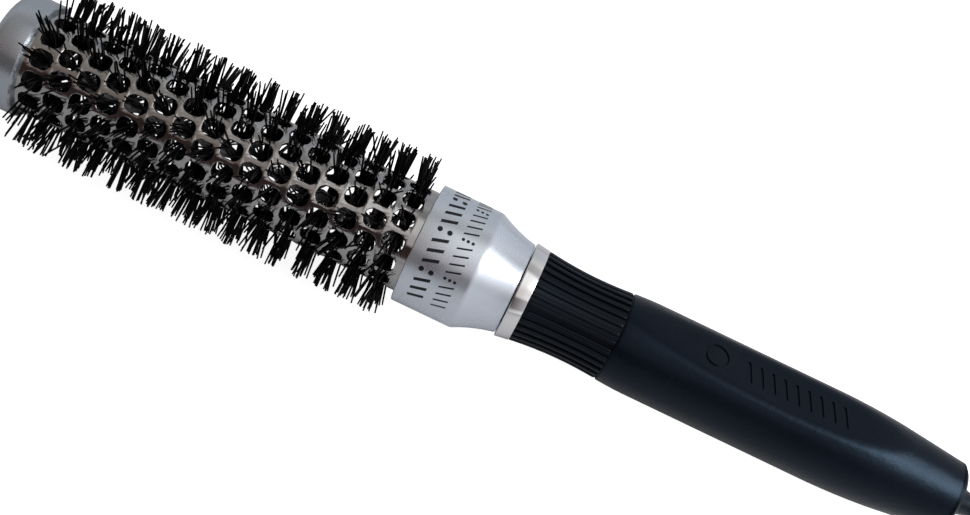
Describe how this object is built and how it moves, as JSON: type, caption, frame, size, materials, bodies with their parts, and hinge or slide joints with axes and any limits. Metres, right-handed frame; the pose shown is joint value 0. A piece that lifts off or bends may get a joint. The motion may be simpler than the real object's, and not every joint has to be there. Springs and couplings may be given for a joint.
{
  "type": "round barrel brush",
  "caption": "Round hair brush with a perforated metal barrel, nylon bristles on a wire stem, a bell-shaped collar, a ribbed neck and a handle that stores a pull-out sectioning pick.",
  "frame": {"origin": "on the brush's axis, halfway along the collar's cylindrical land", "axes": "+X along the brush's axis towards the handle, +Z through the middle of one thumb hollow, up as the brush lies on a table; right-handed"},
  "size_m": [0.2523, 0.04, 0.04],
  "materials": {
    "cap_satin": "satin silver-grey coating with a bright bevelled rim",
    "barrel_metal": "polished, mirror-like",
    "collar_satin": "satin silver",
    "trim_chrome": "bright polished",
    "stem_wire": "galvanised twisted wire",
    "bristle_nylon": "smooth black nylon",
    "neck_rubber": "satin moulded rubber",
    "soft_touch": "soft-touch navy-black coating",
    "inner_plastic": "plain moulded",
    "pick_plastic": "glossy moulded",
    "seal_rubber": "matte"
  },
  "bodies": {
    "brush": {"end_cap": "cap_satin", "tip_plug": "inner_plastic", "barrel_tube": "barrel_metal", "wire_stem": "stem_wire", "stem_anchor": "inner_plastic", "collar": "collar_satin", "trim_ring": "trim_chrome", "handle_core": "inner_plastic", "neck_grip": "neck_rubber", "handle_sleeve": "soft_touch", "pick_socket": "inner_plastic", "bristle_ring_01": "bristle_nylon", "bristle_ring_02": "bristle_nylon", "bristle_ring_03": "bristle_nylon", "bristle_ring_04": "bristle_nylon", "bristle_ring_05": "bristle_nylon", "bristle_ring_06": "bristle_nylon", "bristle_ring_07": "bristle_nylon", "bristle_ring_08": "bristle_nylon", "bristle_ring_09": "bristle_nylon", "bristle_ring_10": "bristle_nylon", "bristle_ring_11": "bristle_nylon", "bristle_ring_12": "bristle_nylon", "bristle_ring_13": "bristle_nylon", "bristle_ring_14": "bristle_nylon", "bristle_ring_15": "bristle_nylon", "bristle_ring_16": "bristle_nylon"},
    "pick": {"pick_shaft": "pick_plastic", "detent_ring": "seal_rubber", "pick_knob": "pick_plastic"}
  },
  "joints": [
    {"name": "pick_slide", "type": "slide", "parent": "brush", "child": "pick", "axis": [1, 0, 0], "range_m": [0, 0.066]}
  ]
}
